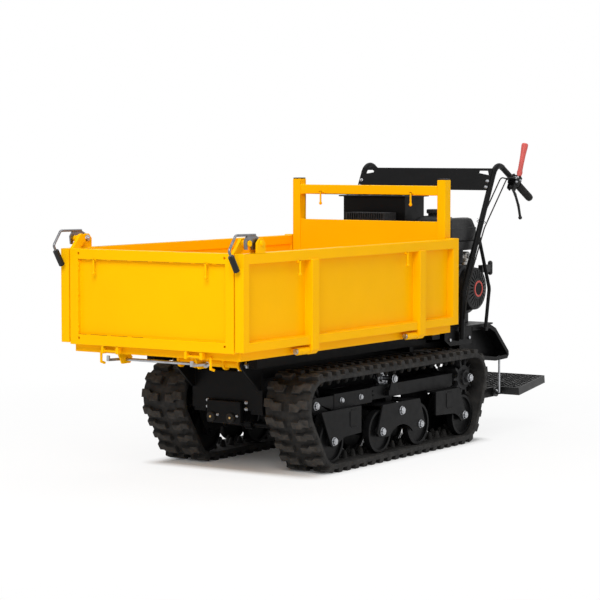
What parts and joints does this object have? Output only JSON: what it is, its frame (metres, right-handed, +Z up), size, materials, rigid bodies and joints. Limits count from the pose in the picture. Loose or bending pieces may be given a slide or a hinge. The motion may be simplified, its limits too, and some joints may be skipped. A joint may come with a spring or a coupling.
{
  "type": "tracked power carrier",
  "caption": "Walk-behind tracked carrier with a hydraulic tipping bed, drop sides, swinging front gate, rubber belts, engine deck, handlebar and folding platform.",
  "frame": {"origin": "on the ground under the middle of the overall length and width", "axes": "+X to the tipping end, +Y to the left of the machine, +Z up"},
  "size_m": [2.6824, 0.91, 1.3252],
  "materials": {
    "yellow": "satin powder coat",
    "black": "satin powder coat",
    "rubber": "matte",
    "zinc": "zinc plated",
    "steel": "machined",
    "cast": "rough",
    "red": "moulded",
    "plastic": "moulded",
    "chrome": "polished"
  },
  "bodies": {
    "chassis": {"chassis_frame": "black", "front_bumper": "black", "track_frame_left": "black", "track_frame_right": "black", "track_left": "rubber", "track_right": "rubber", "gearbox": "cast", "tip_pins": "zinc", "rear_cowl": "black", "deck_bolts": "zinc", "engine_block": "cast", "starter_cover": "plastic", "fuel_tank": "plastic", "air_cleaner": "plastic", "muffler": "cast", "hydraulic_tank": "black", "handlebars": "black", "control_panel": "black", "grips": "rubber", "cables": "rubber"},
    "bed": {"bed_frame": "yellow", "headboard": "yellow", "headboard_caps": "plastic", "side_hinge_pins": "zinc"},
    "side_left": {"side_left": "yellow"},
    "side_right": {"side_right": "yellow"},
    "gate": {"gate": "yellow"},
    "release_shaft": {"release_shaft": "zinc"},
    "lift_barrel": {"lift_barrel": "black"},
    "lift_rod": {"lift_rod": "chrome"},
    "starter_handle": {"starter_handle": "plastic"},
    "fuel_cap": {"fuel_cap": "plastic"},
    "tip_lever": {"tip_lever": "zinc"},
    "gear_lever": {"gear_lever": "zinc"},
    "trigger_left": {"trigger_left": "plastic"},
    "trigger_right": {"trigger_right": "plastic"},
    "drive_lever": {"drive_lever": "red"},
    "platform": {"platform": "black"},
    "lock_rod": {"lock_rod": "zinc"},
    "rocker_left": {"rocker_left": "black"},
    "sprocket_left": {"sprocket_left": "cast"},
    "idler_left": {"idler_left": "black"},
    "carrier_left": {"carrier_left": "steel"},
    "rocker_right": {"rocker_right": "black"},
    "sprocket_right": {"sprocket_right": "cast"},
    "idler_right": {"idler_right": "black"},
    "carrier_right": {"carrier_right": "steel"},
    "roller_left_1": {"roller_left_1": "black"},
    "roller_left_2": {"roller_left_2": "black"},
    "roller_left_3": {"roller_left_3": "black"},
    "roller_left_4": {"roller_left_4": "black"},
    "roller_right_1": {"roller_right_1": "black"},
    "roller_right_2": {"roller_right_2": "black"},
    "roller_right_3": {"roller_right_3": "black"},
    "roller_right_4": {"roller_right_4": "black"},
    "latch_left": {"latch_left": "zinc", "latch_grip_left": "plastic"},
    "latch_right": {"latch_right": "zinc", "latch_grip_right": "plastic"}
  },
  "joints": [
    {"name": "bed_tip", "type": "hinge", "parent": "chassis", "child": "bed", "pos_m": [0.87211, 0, 0.448], "axis": [0, 1, 0], "range_deg": [0, 45]},
    {"name": "lift_barrel_swing", "type": "hinge", "parent": "chassis", "child": "lift_barrel", "pos_m": [0.60178, 0, 0.17387], "axis": [0, 1, 0], "range_deg": [0, 22.5]},
    {"name": "lift_rod_slide", "type": "slide", "parent": "lift_barrel", "child": "lift_rod", "axis": [-0.3486, 0, 0.9373], "range_m": [0, 0.24229]},
    {"name": "side_left_fold", "type": "hinge", "parent": "bed", "child": "side_left", "pos_m": [0.46211, 0.425, 0.515], "axis": [-1, 0, 0], "range_deg": [0, 90]},
    {"name": "side_right_fold", "type": "hinge", "parent": "bed", "child": "side_right", "pos_m": [0.46211, -0.425, 0.515], "axis": [1, 0, 0], "range_deg": [0, 90]},
    {"name": "gate_swing", "type": "hinge", "parent": "bed", "child": "gate", "pos_m": [1.20811, 0, 0.945], "axis": [0, -1, 0], "range_deg": [0, 75]},
    {"name": "release_turn", "type": "hinge", "parent": "bed", "child": "release_shaft", "pos_m": [1.18211, 0, 0.476], "axis": [0, -1, 0], "range_deg": [0, 16]},
    {"name": "latch_left_lift", "type": "hinge", "parent": "side_left", "child": "latch_left", "pos_m": [1.15011, 0.421, 0.945], "axis": [0, -1, 0], "range_deg": [0, 100]},
    {"name": "latch_right_lift", "type": "hinge", "parent": "side_right", "child": "latch_right", "pos_m": [1.15011, -0.421, 0.945], "axis": [0, -1, 0], "range_deg": [0, 100]},
    {"name": "sprocket_left_spin", "type": "hinge", "parent": "chassis", "child": "sprocket_left", "pos_m": [-0.54489, 0.3065, 0.285], "axis": [0, 1, 0], "continuous": true, "deforming": ["track_left"]},
    {"name": "idler_left_spin", "type": "hinge", "parent": "chassis", "child": "idler_left", "pos_m": [0.66411, 0.3065, 0.275], "axis": [0, 1, 0], "continuous": true},
    {"name": "carrier_left_spin", "type": "hinge", "parent": "chassis", "child": "carrier_left", "pos_m": [0.08011, 0.3065, 0.335], "axis": [0, 1, 0], "continuous": true},
    {"name": "rocker_left_rock", "type": "hinge", "parent": "chassis", "child": "rocker_left", "pos_m": [0.05511, 0.3065, 0.2], "axis": [0, 1, 0], "range_deg": [-4, 4], "deforming": ["track_left"]},
    {"name": "roller_left_1_spin", "type": "hinge", "parent": "chassis", "child": "roller_left_1", "pos_m": [0.58011, 0.3065, 0.127], "axis": [0, 1, 0], "continuous": true},
    {"name": "roller_left_2_spin", "type": "hinge", "parent": "rocker_left", "child": "roller_left_2", "pos_m": [0.21011, 0.3065, 0.127], "axis": [0, 1, 0], "continuous": true},
    {"name": "roller_left_3_spin", "type": "hinge", "parent": "rocker_left", "child": "roller_left_3", "pos_m": [-0.09989, 0.3065, 0.127], "axis": [0, 1, 0], "continuous": true},
    {"name": "roller_left_4_spin", "type": "hinge", "parent": "chassis", "child": "roller_left_4", "pos_m": [-0.47989, 0.3065, 0.127], "axis": [0, 1, 0], "continuous": true},
    {"name": "sprocket_right_spin", "type": "hinge", "parent": "chassis", "child": "sprocket_right", "pos_m": [-0.54489, -0.3065, 0.285], "axis": [0, 1, 0], "continuous": true, "deforming": ["track_right"]},
    {"name": "idler_right_spin", "type": "hinge", "parent": "chassis", "child": "idler_right", "pos_m": [0.66411, -0.3065, 0.275], "axis": [0, 1, 0], "continuous": true},
    {"name": "carrier_right_spin", "type": "hinge", "parent": "chassis", "child": "carrier_right", "pos_m": [0.08011, -0.3065, 0.335], "axis": [0, 1, 0], "continuous": true},
    {"name": "rocker_right_rock", "type": "hinge", "parent": "chassis", "child": "rocker_right", "pos_m": [0.05511, -0.3065, 0.2], "axis": [0, 1, 0], "range_deg": [-4, 4], "deforming": ["track_right"]},
    {"name": "roller_right_1_spin", "type": "hinge", "parent": "chassis", "child": "roller_right_1", "pos_m": [0.58011, -0.3065, 0.127], "axis": [0, 1, 0], "continuous": true},
    {"name": "roller_right_2_spin", "type": "hinge", "parent": "rocker_right", "child": "roller_right_2", "pos_m": [0.21011, -0.3065, 0.127], "axis": [0, 1, 0], "continuous": true},
    {"name": "roller_right_3_spin", "type": "hinge", "parent": "rocker_right", "child": "roller_right_3", "pos_m": [-0.09989, -0.3065, 0.127], "axis": [0, 1, 0], "continuous": true},
    {"name": "roller_right_4_spin", "type": "hinge", "parent": "chassis", "child": "roller_right_4", "pos_m": [-0.47989, -0.3065, 0.127], "axis": [0, 1, 0], "continuous": true},
    {"name": "platform_fold", "type": "hinge", "parent": "chassis", "child": "platform", "pos_m": [-1.05989, 0, 0.165], "axis": [0, 1, 0], "range_deg": [0, 80]},
    {"name": "lock_rod_turn", "type": "hinge", "parent": "chassis", "child": "lock_rod", "pos_m": [-0.97289, 0.3, 0.25], "axis": [0, 0, 1], "range_deg": [0, 60]},
    {"name": "starter_pull", "type": "slide", "parent": "chassis", "child": "starter_handle", "axis": [-0.9578, 0, 0.2873], "range_m": [0, 0.6]},
    {"name": "fuel_cap_turn", "type": "hinge", "parent": "chassis", "child": "fuel_cap", "pos_m": [-0.63489, 0.15, 1.01], "axis": [0, 0, 1], "range_deg": [0, 90]},
    {"name": "tip_lever_swing", "type": "hinge", "parent": "chassis", "child": "tip_lever", "pos_m": [-0.75989, -0.15, 0.995], "axis": [0, 1, 0], "range_deg": [-15, 15]},
    {"name": "gear_lever_swing", "type": "hinge", "parent": "chassis", "child": "gear_lever", "pos_m": [-0.82489, 0.15, 0.538], "axis": [0, 1, 0], "range_deg": [-8, 8]},
    {"name": "trigger_left_pull", "type": "hinge", "parent": "chassis", "child": "trigger_left", "pos_m": [-0.99947, 0.345, 1.12138], "axis": [0, 1, 0], "range_deg": [0, 18]},
    {"name": "trigger_right_pull", "type": "hinge", "parent": "chassis", "child": "trigger_right", "pos_m": [-0.99947, -0.345, 1.12138], "axis": [0, 1, 0], "range_deg": [0, 18]},
    {"name": "drive_lever_swing", "type": "hinge", "parent": "chassis", "child": "drive_lever", "pos_m": [-1.06396, 0.345, 1.15723], "axis": [0, -1, 0], "range_deg": [0, 35]}
  ],
  "couplings": [
    {"joint": "lift_barrel_swing", "follows": "bed_tip", "ratio": 0.5},
    {"joint": "lift_rod_slide", "follows": "bed_tip", "m_per_rad": 0.30849},
    {"joint": "idler_left_spin", "follows": "sprocket_left_spin", "ratio": 0.90826},
    {"joint": "carrier_left_spin", "follows": "sprocket_left_spin", "ratio": 2.475},
    {"joint": "roller_left_1_spin", "follows": "sprocket_left_spin", "ratio": 1.0102},
    {"joint": "roller_left_2_spin", "follows": "sprocket_left_spin", "ratio": 1.0102},
    {"joint": "roller_left_3_spin", "follows": "sprocket_left_spin", "ratio": 1.0102},
    {"joint": "roller_left_4_spin", "follows": "sprocket_left_spin", "ratio": 1.0102},
    {"joint": "idler_right_spin", "follows": "sprocket_right_spin", "ratio": 0.90826},
    {"joint": "carrier_right_spin", "follows": "sprocket_right_spin", "ratio": 2.475},
    {"joint": "roller_right_1_spin", "follows": "sprocket_right_spin", "ratio": 1.0102},
    {"joint": "roller_right_2_spin", "follows": "sprocket_right_spin", "ratio": 1.0102},
    {"joint": "roller_right_3_spin", "follows": "sprocket_right_spin", "ratio": 1.0102},
    {"joint": "roller_right_4_spin", "follows": "sprocket_right_spin", "ratio": 1.0102}
  ]
}
